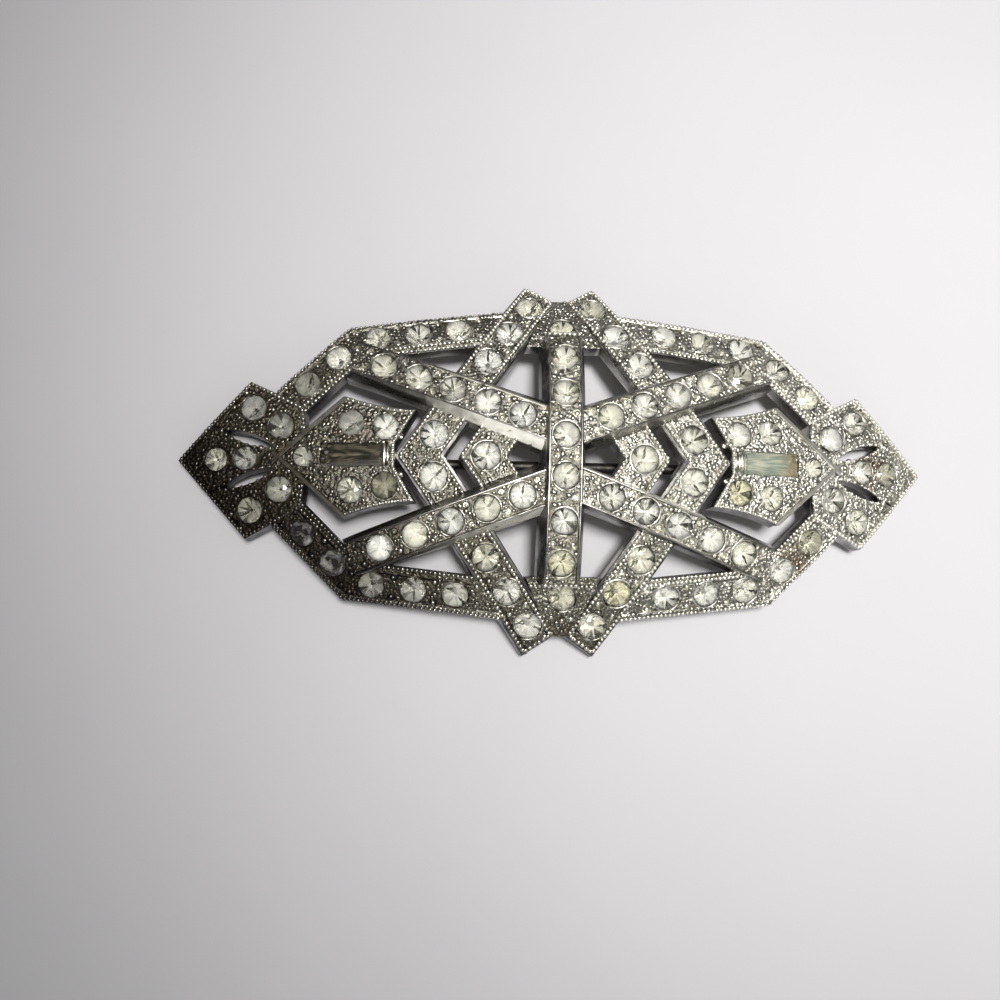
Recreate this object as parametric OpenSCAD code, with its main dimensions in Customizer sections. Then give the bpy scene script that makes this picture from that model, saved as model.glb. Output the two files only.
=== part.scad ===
// Rhinestone brooch: a pierced, domed casting set with round stones and two baguettes.
// Lies face up on its tips, length along X, height along Z, all sizes in millimetres.

/* [Overall shape] */
// Half of the length, from the middle to a pointed end
half_length = 37.2; // [36.8:0.1:37.6]
// Bend radius of the face along the length
long_radius = 100; // [95:1:110]
// Bend radius of the face across the width
cross_radius = 30; // [29:0.5:33]
// Height of the frame's top at the middle, above the surface that it lies on
crown_z = 9.1; // [9:0.05:9.2]
// Thickness of the frame's bands
band_t = 2.2; // [2:0.1:2.4]

/* [Levels above the frame] */
// Raise of the four cross bands
cross_rise = 1; // [0.7:0.1:1.2]
// Raise of the centre bar
bar_rise = 1.7; // [1.4:0.1:2]
// Height of a band's rims above its stone floor
rim_h = 0.25; // [0.15:0.05:0.35]
// Drop from the rims to the ledge that carries the beaded edge
ledge_drop = 0.7; // [0.5:0.1:0.9]

/* [Bands] */
// Width of the border between its ledges
border_w = 3.1; // [3:0.05:3.3]
// Width of the large chevrons between their ledges
chevron_w = 3.3; // [3.2:0.05:3.4]
// Width of the cross bands
cross_w = 3.1; // [3:0.05:3.3]
// Width of the centre bar
bar_w = 3.1; // [3:0.05:3.2]
// Sideways offset of the centre bar, as cast
bar_x = -0.2; // [-0.3:0.1:0.3]
// Width of a rim
rim_w = 0.28; // [0.2:0.02:0.3]
// Width of the ledge beside a band
ledge_w = 0.3; // [0.2:0.05:0.35]

/* [Stones] */
// Girdle diameter of most of the round stones
stone_d = 2.5; // [2.3:0.05:2.55]
// Girdle diameter of the chevrons' stones
large_d = 2.7; // [2.5:0.05:2.75]
// Girdle diameter of the stones in the terminals' middle petals
petal_d = 2.3; // [2.1:0.05:2.35]
// Girdle diameter of the small stones at the arrows' points
small_d = 1.9; // [1.7:0.05:2]
// Length of a baguette
baguette_l = 6.4; // [6:0.1:6.5]
// Width of a baguette
baguette_w = 2.2; // [2:0.1:2.3]
// Gap between a stone and its seat
seat_gap = 0.06; // [0.04:0.01:0.08]

/* [Pin] */
// Diameter of the stem
stem_d = 1; // [0.8:0.1:1.2]
// Distance from the middle to the hinge and to the catch
pin_half = 20.5; // [19:0.5:21]
// Height of the stem above the surface
stem_z = 3; // [2.8:0.1:3.1]

/* [Hidden] */
$fn = 48;

metal = [0.66, 0.66, 0.62];
crystal = [0.86, 0.9, 0.92];

// Middle lines of the bands in the quarter where X and Y are positive.
// A chevron runs from an ear at the top down to its point on the X axis and on to the other ear.
ear_end = [2.02, 17.53];
chevron_run = [ear_end, [13.86, 0], [ear_end[0], -ear_end[1]]];
small_chevron_run = [[5.16, 3.98], [7.83, 0], [5.16, -3.98]];
small_chevron_w = 3.7;
border_run = [[5.3, 13.56], [20.1, 11.82], [26.7, 5.17]];
cross_run = [[0.7, 2.5], [19.7, 9.41]];
bar_run = [[bar_x, -11.6], [bar_x, 11.6]];
bar_flare = 0.45;

// Outlines of the solid ends and of the filler between two ears, upper halves
terminal = [[half_length, 0], [30.3, 7.75], [27.5, 6.3], [24.9, 4.9], [24.6, 2.6]];
arrow = [[27.4, 0], [20.9, 5.8], [14.2, 4.35], [16.1, 1.1]];
tail_sag = 0.3;
slot = [[27.5, 1], [32.9, 2.9]];
slot_w = 1.15;
filler_base = [3.6, 11.3];
filler_top = [1.1, 16.8];

// Strings of stones. The last two columns say whether a row is repeated across Y and across X.
// [string, first x, first y, last x, last y, count, diameter, level, to the left, below]
strings = [
    ["bar", bar_x, 1.95, bar_x, 5.95, 2, stone_d, bar_rise, false, true],
    ["bar", bar_x, 9.6, bar_x, 9.6, 1, stone_d, bar_rise, false, true],
    ["bar", 0, 13.25, 0, 13.25, 1, stone_d, 0, false, true],
    ["cross", 4.15, 3.75, 17.2, 8.5, 5, stone_d, cross_rise, true, true],
    ["chevron", 3.15, 15.85, 7.4, 9.55, 3, large_d, 0, true, true],
    ["chevron", 12.45, 2.05, 12.45, 2.05, 1, large_d, 0, true, true],
    ["chevron", 7.55, 0, 7.55, 0, 1, large_d, 0, true, false],
    ["border", 10.15, 13, 18.1, 12.15, 3, stone_d, 0, true, true],
    ["border", 21.8, 10.1, 24.7, 7.3, 2, stone_d, 0, true, true],
    ["arrow", 17.05, 2.85, 20.3, 3.25, 2, stone_d, 0, true, true],
    ["arrow", 24.9, 0, 24.9, 0, 1, small_d, 0, true, false],
    ["terminal", 27.1, 3.1, 29.9, 5.05, 2, stone_d, 0, true, true],
    ["terminal", 30.5, 0, 33.4, 0, 2, petal_d, 0, true, false]];

// Cut of a round stone, as shares of its diameter
table_share = 0.52;
crown_share = 0.17;
pavilion_share = 0.4;
facets = 8;

// Baguette: its middle, and its cut as [height, inset from the girdle on every side]
baguette_mid = [19.95, 0.1];
baguette_cut = [[-0.95, 1.02], [-0.5, 0.5], [0, 0], [0.22, 0.2], [0.4, 0.5]];

pocket_under = 0.12;
pocket_over = 0.6;
pad_l = 5;
pad_w = 4.4;
pad_t = 0.6;
pad_gap = 0.05;
knuckle_d = 2.2;
knuckle_w = 3.6;
catch_l = 2.4;
web_t = 1.6;
stem_over = 1.4;
ring_sweep = 52;
ring_depth = 14;
ring_half_w = 20;

// Unit vector square to the way from a to b, to its left
function square_to(a, b) = [a[1] - b[1], b[0] - a[0]] / norm(b - a);

// Point beside point i of a run, off to the left, mitred where the run turns
function side_point(run, i, off) =
    let (last = len(run) - 1,
         before = square_to(run[max(i - 1, 0)], run[max(i, 1)]),
         after = square_to(run[min(i, last - 1)], run[min(i + 1, last)]),
         way = (before + after) / norm(before + after))
    run[i] + way * off / (way * before);

// Outline of a band of width w whose middle line is the run
function band(run, w) = concat(
    [for (i = [0 : len(run) - 1]) side_point(run, i, w / 2)],
    [for (i = [len(run) - 1 : -1 : 0]) side_point(run, i, -w / 2)]);

// A run with both ends moved on by some length
function longer(run, by) =
    let (last = len(run) - 1,
         start_way = (run[0] - run[1]) / norm(run[0] - run[1]),
         end_way = (run[last] - run[last - 1]) / norm(run[last] - run[last - 1]))
    [for (i = [0 : last]) i == 0 ? run[0] + start_way * by : i == last ? run[last] + end_way * by : run[i]];

// Upper half of an outline closed with its mirror image across the X axis
function with_lower(upper, first) = concat(
    upper, [for (i = [len(upper) - 1 : -1 : first]) [upper[i][0], -upper[i][1]]]);

module both_sides() {
    children();
    mirror([1, 0, 0]) children();
}

module above_and_below() {
    children();
    mirror([0, 1, 0]) children();
}

module four_quarters() {
    above_and_below() both_sides() children();
}

// Moves children to the face over (x, y), raised by h along its normal and square to it
module on_face(x, y, h) {
    across_turn = asin(y / (cross_radius + h));
    reach = long_radius - cross_radius + (cross_radius + h) * cos(across_turn);
    translate([0, 0, crown_z - long_radius])
        rotate([0, asin(x / reach), 0])
            translate([0, 0, long_radius - cross_radius])
                rotate([-across_turn, 0, 0])
                    translate([0, 0, cross_radius + h])
                        children();
}

// All that lies under the face raised by h: a slice of a ring that bends both ways
module under_face(h) {
    translate([0, 0, crown_z - long_radius])
        rotate([-90, -90, 0])
            rotate([0, 0, -ring_sweep / 2])
                rotate_extrude(angle = ring_sweep, $fn = 360)
                    intersection() {
                        translate([long_radius - cross_radius, 0])
                            circle(cross_radius + h, $fn = 180);
                        translate([long_radius - ring_depth, -ring_half_w])
                            square([ring_depth + 5, 2 * ring_half_w]);
                    }
}

// Metal over an outline, up to the face raised by h
module up_to(h) {
    intersection() {
        linear_extrude(height = crown_z + bar_rise + 2) children();
        under_face(h);
    }
}

module border_outline(beside, beyond) {
    four_quarters() polygon(band(longer(border_run, beyond), border_w + 2 * beside));
}

module chevron_outline(beside, beyond) {
    both_sides() polygon(band(longer(chevron_run, beyond), chevron_w + 2 * beside));
}

module small_chevron_outline() {
    both_sides() polygon(band(small_chevron_run, small_chevron_w));
}

module cross_outline(beside, beyond) {
    four_quarters() polygon(band(longer(cross_run, beyond), cross_w + 2 * beside));
}

module bar_outline(beside, beyond) {
    polygon(band(longer(bar_run, beyond), bar_w + 2 * beside));
}

// Plates that join two ears at the top and at the bottom
module filler_outline() {
    above_and_below() polygon([[-filler_base[0], filler_base[1]], filler_base,
                               filler_top, [-filler_top[0], filler_top[1]]]);
}

// Arrow with a fishtail whose long edges are hollowed by a circle
module arrow_outline() {
    chord = norm(arrow[2] - arrow[1]);
    hollow_r = chord * chord / (8 * tail_sag) + tail_sag / 2;
    hollow_at = (arrow[1] + arrow[2]) / 2 - square_to(arrow[1], arrow[2]) * (hollow_r - tail_sag);
    both_sides() difference() {
        polygon(with_lower(arrow, 1));
        above_and_below() translate(hollow_at) circle(hollow_r, $fn = 120);
    }
}

// Round disc whose rim is one edge of a leaf-shaped slot
module leaf_disc(side) {
    length = norm(slot[1] - slot[0]);
    leaf_r = (length * length + slot_w * slot_w) / (4 * slot_w);
    middle = (slot[0] + slot[1]) / 2 + side * square_to(slot[0], slot[1]) * (leaf_r - slot_w / 2);
    translate(middle) circle(leaf_r, $fn = 120);
}

// Pointed end of three petals with a leaf-shaped slot on each side of the middle one
module terminal_outline() {
    both_sides() difference() {
        polygon(with_lower(terminal, 1));
        above_and_below() intersection() {
            leaf_disc(1);
            leaf_disc(-1);
        }
    }
}

// Places children at every stone of a string, raised by h from the string's level
module at_stones(name) {
    for (row = strings) if (row[0] == name)
        for (i = [0 : row[5] - 1], to_left = row[8] ? [1, -1] : [1], below = row[9] ? [1, -1] : [1]) {
            share = row[5] > 1 ? i / (row[5] - 1) : 0;
            x = row[1] + (row[3] - row[1]) * share;
            y = row[2] + (row[4] - row[2]) * share;
            $stone_size = row[6];
            on_face(to_left * x, below * y, row[7] - rim_h) children();
        }
}

// Blind round pocket for one stone
module pocket() {
    depth = $stone_size * pavilion_share + pocket_under;
    translate([0, 0, -depth])
        cylinder(h = depth + pocket_over, r = $stone_size / 2 + seat_gap);
}

// Round stone with its girdle at height 0: a table, crown facets round it and a pointed back
module round_stone() {
    sides = 2 * facets;
    table = [for (i = [0 : facets - 1]) let (a = 360 * i / facets)
        [cos(a) * $stone_size * table_share / 2, sin(a) * $stone_size * table_share / 2,
         $stone_size * crown_share]];
    girdle = [for (i = [0 : sides - 1]) let (a = 360 * i / sides)
        [cos(a) * $stone_size / 2, sin(a) * $stone_size / 2, 0]];
    first = facets;
    tip = facets + sides;
    polyhedron(
        points = concat(table, girdle, [[0, 0, -$stone_size * pavilion_share]]),
        faces = concat(
            [[for (i = [facets - 1 : -1 : 0]) i]],
            [for (i = [0 : facets - 1]) [i, first + 2 * i + 1, first + 2 * i]],
            [for (i = [0 : facets - 1]) [i, (i + 1) % facets, first + 2 * i + 1]],
            [for (i = [0 : facets - 1])
                [(i + 1) % facets, first + (2 * i + 2) % sides, first + 2 * i + 1]],
            [for (i = [0 : sides - 1]) [tip, first + i, first + (i + 1) % sides]]));
}

// Step-cut baguette with its girdle at height 0
module baguette_body() {
    rings = len(baguette_cut);
    corners = [[1, 1], [-1, 1], [-1, -1], [1, -1]];
    points = [for (step = baguette_cut, c = corners)
        [c[0] * (baguette_l / 2 - step[1]), c[1] * (baguette_w / 2 - step[1]), step[0]]];
    sides = [for (r = [0 : rings - 2], k = [0 : 3])
        [4 * r + k, 4 * r + 4 + k, 4 * r + 4 + (k + 1) % 4, 4 * r + (k + 1) % 4]];
    polyhedron(
        points = points,
        faces = concat([[0, 1, 2, 3]], sides, [[for (k = [3 : -1 : 0]) 4 * (rings - 1) + k]]));
}

module at_baguette(side) {
    on_face(side * baguette_mid[0], baguette_mid[1], -rim_h) children();
}

module baguette_pocket() {
    depth = pocket_under - baguette_cut[0][0];
    translate([-baguette_l / 2 - seat_gap, -baguette_w / 2 - seat_gap, -depth])
        cube([baguette_l + 2 * seat_gap, baguette_w + 2 * seat_gap, depth + pocket_over]);
}

module casting() {
    color(metal) difference() {
        union() {
            // Floors of the low bands, the plain plates and the feet of the raised bands
            up_to(-rim_h) {
                border_outline(0, 0);
                chevron_outline(0, 0);
                small_chevron_outline();
                filler_outline();
                arrow_outline();
                terminal_outline();
                cross_outline(ledge_w, ledge_w);
                bar_outline(bar_flare, ledge_w);
            }
            // Ledges outside them
            up_to(-ledge_drop) {
                border_outline(ledge_w, ledge_w);
                chevron_outline(ledge_w, ledge_w);
            }
            // Rims of the border, which stop at the chevrons, and of the chevrons
            up_to(0) {
                difference() {
                    border_outline(0, 0);
                    border_outline(-rim_w, ledge_w);
                    chevron_outline(0, 0);
                }
                difference() {
                    chevron_outline(0, 0);
                    chevron_outline(-rim_w, -rim_w);
                }
            }
            // Cross bands over them and the centre bar over all, with their rims
            up_to(cross_rise - rim_h) cross_outline(0, 0);
            up_to(bar_rise - rim_h) bar_outline(0, 0);
            up_to(cross_rise) difference() {
                cross_outline(0, 0);
                cross_outline(-rim_w, ledge_w);
            }
            up_to(bar_rise) difference() {
                bar_outline(0, 0);
                bar_outline(-rim_w, ledge_w);
            }
        }
        under_face(-band_t);
        at_stones("bar") pocket();
        at_stones("cross") pocket();
        at_stones("chevron") pocket();
        at_stones("border") pocket();
        at_stones("arrow") pocket();
        at_stones("terminal") pocket();
        for (side = [1, -1]) at_baguette(side) baguette_pocket();
    }
}

// Plate under the back of an arrow, shaped to the curve with a hair's gap
module pin_pad(side) {
    difference() {
        intersection() {
            translate([side * pin_half - pad_l / 2, -pad_w / 2, 0]) cube([pad_l, pad_w, crown_z]);
            under_face(-band_t - pad_gap);
        }
        under_face(-band_t - pad_gap - pad_t);
    }
}

// Web from a pad down to the stem
module pin_web(side) {
    intersection() {
        translate([side * pin_half - web_t / 2, -knuckle_w / 2, stem_z])
            cube([web_t, knuckle_w, crown_z]);
        under_face(-band_t - pad_gap - pad_t / 2);
    }
}

// Plain closed pin: hinge knuckle at the left, stem, and catch at the right
module pin_clasp() {
    color(metal) union() {
        for (side = [1, -1]) pin_pad(side);
        for (side = [1, -1]) pin_web(side);
        translate([-pin_half, knuckle_w / 2, stem_z]) rotate([90, 0, 0])
            cylinder(h = knuckle_w, r = knuckle_d / 2);
        translate([pin_half - catch_l / 2, 0, stem_z]) rotate([0, 90, 0])
            cylinder(h = catch_l, r = knuckle_d / 2);
        translate([-pin_half, 0, stem_z]) rotate([0, 90, 0])
            cylinder(h = 2 * pin_half + catch_l / 2 + stem_over, r = stem_d / 2);
    }
}

module baguette_left() {
    color(crystal) at_baguette(-1) baguette_body();
}

module baguette_right() {
    color(crystal) at_baguette(1) baguette_body();
}

module centre_bar_stones() {
    color(crystal) at_stones("bar") round_stone();
}

module cross_band_stones() {
    color(crystal) at_stones("cross") round_stone();
}

module chevron_stones() {
    color(crystal) at_stones("chevron") round_stone();
}

module border_stones() {
    color(crystal) at_stones("border") round_stone();
}

module arrow_stones() {
    color(crystal) at_stones("arrow") round_stone();
}

module terminal_stones() {
    color(crystal) at_stones("terminal") round_stone();
}

casting();
pin_clasp();
baguette_left();
baguette_right();
centre_bar_stones();
cross_band_stones();
chevron_stones();
border_stones();
arrow_stones();
terminal_stones();
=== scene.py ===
import math
import random
import bpy
import bmesh
from mathutils import Euler, Matrix, Vector


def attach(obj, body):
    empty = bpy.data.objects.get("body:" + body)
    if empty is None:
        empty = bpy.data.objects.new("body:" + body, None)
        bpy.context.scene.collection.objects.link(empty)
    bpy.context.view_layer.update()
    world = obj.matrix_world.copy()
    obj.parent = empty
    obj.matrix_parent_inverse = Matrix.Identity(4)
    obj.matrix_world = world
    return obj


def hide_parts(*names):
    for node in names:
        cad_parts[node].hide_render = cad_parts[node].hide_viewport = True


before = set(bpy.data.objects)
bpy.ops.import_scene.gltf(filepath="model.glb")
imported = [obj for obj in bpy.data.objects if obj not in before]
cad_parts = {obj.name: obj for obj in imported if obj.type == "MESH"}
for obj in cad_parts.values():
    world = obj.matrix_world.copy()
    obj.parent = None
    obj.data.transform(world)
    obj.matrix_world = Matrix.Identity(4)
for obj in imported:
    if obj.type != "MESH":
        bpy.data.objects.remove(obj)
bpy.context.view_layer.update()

# Everything is drawn in millimetres on a flat sheet: x along the brooch, y across it, and the
# third number is how far a point stands above the face. bend() then wraps the sheet over the
# dome, and toMetres() brings the finished mesh to the frame's unit.

metre = 1000                # in millimetres

face = {
    "longRadius": 100, "crossRadius": 30,   # how the face curves along and across
    "crown": 9.1,                           # top of the frame at the middle, above the floor
    "back": -2.2,                           # underside of the frame
    "straightBelow": -0.8,                  # from here down the walls drop straight, as they left the mould
    "cell": 1.1,                            # the sheet is cut this fine before it is bent
    "cellShift": 0.013,                     # so that the cuts miss the corners on whole cells
    "cutTo": (38, 20),                      # how far the cuts go along and across
}


def bend(x, y, up):
    across = math.asin(y / face["crossRadius"])
    reach = face["longRadius"] - face["crossRadius"] + face["crossRadius"] * math.cos(across)
    along = math.asin(x / reach)
    flat = math.cos(across)
    normal = Vector((math.sin(along) * flat, math.sin(across), math.cos(along) * flat))
    place = Vector((x, y, face["crown"] - face["longRadius"] + reach * math.cos(along)))
    place += normal * max(up, face["straightBelow"])
    place.z = max(place.z + min(up - face["straightBelow"], 0), 0)
    return place, normal


def toMetres(mesh):
    mesh.transform(Matrix.Scale(1 / metre, 4))


def addObject(name, mesh):
    thing = bpy.data.objects.new(name, mesh)
    bpy.context.scene.collection.objects.link(thing)
    return thing


def evaluated(thing, name):
    # plain mesh of an object as its modifiers leave it
    bpy.context.view_layer.update()
    mesh = bpy.data.meshes.new_from_object(thing.evaluated_get(bpy.context.evaluated_depsgraph_get()))
    mesh.name = name
    return mesh


# Materials

def hexColour(code):
    # sRGB hex to linear, as the shader sockets want it
    parts = [int(code[i:i + 2], 16) / 255 for i in (1, 3, 5)]
    return [c / 12.92 if c <= 0.04045 else ((c + 0.055) / 1.055) ** 2.4 for c in parts] + [1]


def addNode(tree, kind, inputs=(), **settings):
    # Inputs go by name, or as a list in the order in which the node shows them, where None leaves
    # one as it is. A node given as an input stands for the first output that it shows.
    node = tree.nodes.new(kind)
    for name, value in settings.items():
        setattr(node, name, value)
    shown = [i for i, socket in enumerate(node.inputs) if socket.enabled]
    for key, value in inputs.items() if isinstance(inputs, dict) else zip(shown, inputs):
        if isinstance(value, bpy.types.Node):
            value = next(output for output in value.outputs if output.enabled)
        if isinstance(value, bpy.types.NodeSocket):
            tree.links.new(value, node.inputs[key])
        elif value is not None:
            node.inputs[key].default_value = value
    return node


def newMaterial(name):
    material = bpy.data.materials.new(name)
    material.use_nodes = True
    tree = material.node_tree
    tree.nodes.clear()
    return material, tree, addNode(tree, "ShaderNodeTexCoord").outputs["Object"]


def shaded(material, inputs):
    shader = addNode(material.node_tree, "ShaderNodeBsdfPrincipled", inputs)
    addNode(material.node_tree, "ShaderNodeOutputMaterial", {"Surface": shader})
    return material


def patternScale(millimetres):
    # Object coordinates are in metres
    return metre / millimetres


def cloudyPatterns(tree, place, patterns):
    # a pattern is its size in mm, its detail and roughness, and the ramp that is laid over it
    made = {}
    for label, (size, detail, roughness, *ramp) in patterns.items():
        clouds = addNode(tree, "ShaderNodeTexNoise", [place, patternScale(size), detail, roughness])
        made[label] = addNode(tree, "ShaderNodeMapRange", [clouds, *ramp])
    return made


def layered(tree, looks, ground, films):
    # a ground colour with films over it, each with the share of its ground that it hides
    colour = hexColour(looks[ground])
    for share, film in films:
        colour = addNode(tree, "ShaderNodeMix", [share, colour, hexColour(looks[film])], data_type="RGBA")
    return colour


plating = {
    "bright": "#f2f0e6",      # plating where it is rubbed
    "dull": "#b6b3a3",        # the same plating, tarnished
    "tarnish": "#76705a",     # brown film where the base metal shows through
    "grime": "#14120f",       # sooty dirt in the low places, with painted shade added towards the lower left
    "rust": "#86684a",        # brown spots where water stood
    "hollow": "#4d4b41",      # grey-brown of the worked floors between the lumps: grime and painted shade, darker towards the left
    "paintedLeftShade": "#4a4337",       # painted shade, dark brown, over the left end
    "paintedLowerLeftShade": "#1f1b16",        # painted shade, darkest at the lower left
    "wall": "#34343a",        # painted blue-black shade on the flanks, the ledges and the raised bands' rims
    "crust": 0.34,            # size of the worked floors' lumps
    "pit": 0.12,              # size of the casting's skin texture
    "roughness": (0.26, 0.50),          # bare, and under film or dirt
    "metallic": (1.0, 0.1),             # bare, and on the flanks with painted sheen
    "grimeKept": (0.25, 1.0),           # on the rubbed edges, and away from them
    "filmKept": (1.0, 0.75),            # away from the rubbed edges, and on them
    "rustOver": (0.0, 0.5, 0.3, 1.0),   # rust is thicker where there is dirt
    "rustFull": 0.6,                    # share in the middle of a spot
    "rustFade": (2, 0.9),               # full within the width over 2, gone at the width over 0.9
    "rustSpots": ((0, -15.6, 1.3), (22.9, -9.2, 2.0), (31.5, 0.6, 2.4), (-20.5, 2.6, 2.2),
                  (20.2, 3.4, 1.2)),    # place and width
}
# Films that thicken towards one side. The left end is browner, partly tarnish and partly painted
# shade, and the lower left and the worked floors on the left carry painted shade.
# Each is the way over the face, where it starts and is fullest along that in metres, and its
# shares there.
platingSides = {
    "brown": ((-1, 0, 0), 0.018, 0.034, 0.0, 0.3),
    "dirt": ((-0.8, -1.0, 0), 0.006, 0.030, 0.0, 0.55),
    "paintedLowerLeftShade": ((-0.8, -1.0, 0), 0.017, 0.028, 0.0, 0.95),
    "hollow": ((-1.0, -0.6, 0), -0.026, 0.0, 0.45, 0.80),
    "paintedLeftShade": ((-1.0, -0.6, 0), 0.0, 0.026, 0.0, 0.80),
}
platingPatterns = {
    "patches": (5.0, 4, 0.55, 0.42, 0.66, 0.0, 0.7),
    "dirt": (0.9, 4, 0.65, 0.40, 0.62),
    "stains": (1.7, 3, 0.55, 0.45, 0.62),
    "flanks": (1.4, 3, 0.55, 0.3, 0.6, 0.6, 1.0),
}


def platedWhiteMetal(name, grimeShare, crustDepth, pitDepth):
    # Cast white metal under worn bright plating: mirror-like on the rubbed edges, soft and brownish
    # in the low places, with a fine pitted casting skin.
    material, tree, place = newMaterial(name)
    pattern = cloudyPatterns(tree, place, platingPatterns)
    rubbed, worked, wall, satin = (addNode(tree, "ShaderNodeAttribute", attribute_name=mark).outputs["Fac"]
                                   for mark in ("rubbed", "worked", "wall", "satin"))
    side = {}
    for label, (way, *ramp) in platingSides.items():
        along = addNode(tree, "ShaderNodeVectorMath", [place, way], operation="DOT_PRODUCT")
        side[label] = addNode(tree, "ShaderNodeMapRange", [along, *ramp])

    worn = addNode(tree, "ShaderNodeMath", [1.0, rubbed], operation="SUBTRACT")
    # tarnish film, thicker towards the left end, where it is partly painted shade
    film = addNode(tree, "ShaderNodeMath", [pattern["patches"], side["brown"]], operation="ADD")
    # real grime, plus painted shade that thickens towards the lower left
    dirt = addNode(tree, "ShaderNodeMath", [side["dirt"], grimeShare], operation="ADD")
    dirt = addNode(tree, "ShaderNodeMath", [pattern["dirt"], dirt], operation="MULTIPLY")
    grimeKept = addNode(tree, "ShaderNodeMapRange", [worn, 0.0, 1.0, *plating["grimeKept"]])
    filmKept = addNode(tree, "ShaderNodeMapRange", [rubbed, 0.0, 1.0, *plating["filmKept"]])
    rustOver = addNode(tree, "ShaderNodeMapRange", [pattern["dirt"], *plating["rustOver"]])
    tarnished = addNode(tree, "ShaderNodeMath", [film, worn], operation="MULTIPLY")
    grimeAndShade = addNode(tree, "ShaderNodeMath", [dirt, grimeKept], operation="MULTIPLY")

    # from the lowest to the topmost, each with two shares that are multiplied
    films = [(tarnished, 1.0, "dull"), (tarnished, pattern["stains"], "tarnish"), (grimeAndShade, 1.0, "grime")]
    for x, y, width in plating["rustSpots"]:
        middle = bend(x, y, 0)[0] / metre
        full, gone = (width / share / metre for share in plating["rustFade"])
        away = addNode(tree, "ShaderNodeVectorMath", [place, middle], operation="DISTANCE")
        spot = addNode(tree, "ShaderNodeMapRange", [away, full, gone, plating["rustFull"], 0.0])
        films.append((spot, rustOver, "rust"))
    # worked floors, partly grime and partly painted shade; then painted shade over the left end, the lower
    # left and the flanks
    films += [(worked, side["hollow"], "hollow"), (side["paintedLeftShade"], filmKept, "paintedLeftShade"),
              (side["paintedLowerLeftShade"], filmKept, "paintedLowerLeftShade"), (wall, pattern["flanks"], "wall")]
    films = [(addNode(tree, "ShaderNodeMath", [first, second], operation="MULTIPLY"), tint)
             for first, second, tint in films]

    crustScale = patternScale(plating["crust"])
    lumps = addNode(tree, "ShaderNodeTexVoronoi", {"Vector": place, "Scale": crustScale}, feature="SMOOTH_F1")
    relief = addNode(tree, "ShaderNodeTexNoise", [place, crustScale, 4, 0.6])
    relief = addNode(tree, "ShaderNodeMath", [relief, lumps], operation="SUBTRACT")
    relief = addNode(tree, "ShaderNodeMath", [relief, worked], operation="MULTIPLY")
    skin = addNode(tree, "ShaderNodeBump",
                   {"Height": relief, "Distance": crustDepth / metre, "Strength": 1.0})
    pits = addNode(tree, "ShaderNodeTexNoise", [place, patternScale(plating["pit"]), 3, 0.6])
    skin = addNode(tree, "ShaderNodeBump",
                   {"Height": pits, "Distance": pitDepth / metre, "Strength": 1.0, "Normal": skin})
    covered = addNode(tree, "ShaderNodeMath", [tarnished, grimeAndShade], operation="MAXIMUM")
    return shaded(material, {
        "Base Color": layered(tree, plating, "bright", films),
        # painted sheen: a low metallic lets the flanks' bright colour stand in for a reflection
        "Metallic": addNode(tree, "ShaderNodeMapRange", [satin, 0.0, 1.0, *plating["metallic"]]),
        "Roughness": addNode(tree, "ShaderNodeMapRange", [covered, 0.0, 1.0, *plating["roughness"]]),
        "Normal": skin,
    })


glassLooks = {
    "clear": "#ffffff", "aged": "#fffef6",
    "ior": 1.56,
    "patterns": {"scuffs": (0.6, 4, 0.55, 0.45, 0.75, 0.015, 0.12)},
}


def chatonGlass():
    # Pressed and polished lead glass: clear and bright, with a few scuffs on the facet edges
    material, tree, place = newMaterial("chatonGlass")
    age = addNode(tree, "ShaderNodeAttribute", attribute_name="age").outputs["Fac"]
    return shaded(material, {
        "Base Color": layered(tree, glassLooks, "clear", [(age, "aged")]),
        "Transmission Weight": 1,
        "IOR": glassLooks["ior"],
        "Roughness": cloudyPatterns(tree, place, glassLooks["patterns"])["scuffs"],
    })


foilLooks = {
    "silver": "#fffffa", "yellowed": "#fdfae6",
    "shaded": "#75766b",                      # painted shade on a random share of the facets
    "dead": "#241f1a",                        # where the silvering is gone, dirt at the girdle, and painted shade on stones towards the lower left
    "shadedFacet": (0.08, 0.24, 1.0, 0.0),           # which facets get the painted shade, from the facet's number
    "metallic": (0.12, 0.65, 0.90, 0.30),     # and how much of a mirror it is
    "girdleDirt": (0.68, 0.97, 0.0, 0.92),    # dirt that crept in, from the middle to the girdle
    "roughness": (0.20, 0.4),                 # silvered, and dead
    "ripple": 0.7, "rippleDepth": 0.04, "rippleStrength": 0.3,
    "patterns": {"dead": (0.8, 3, 0.55, 0.22, 0.52), "dirt": (1.1, 2, 0.55, 0.3, 0.6, 0.45, 1.0)},
}


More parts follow.
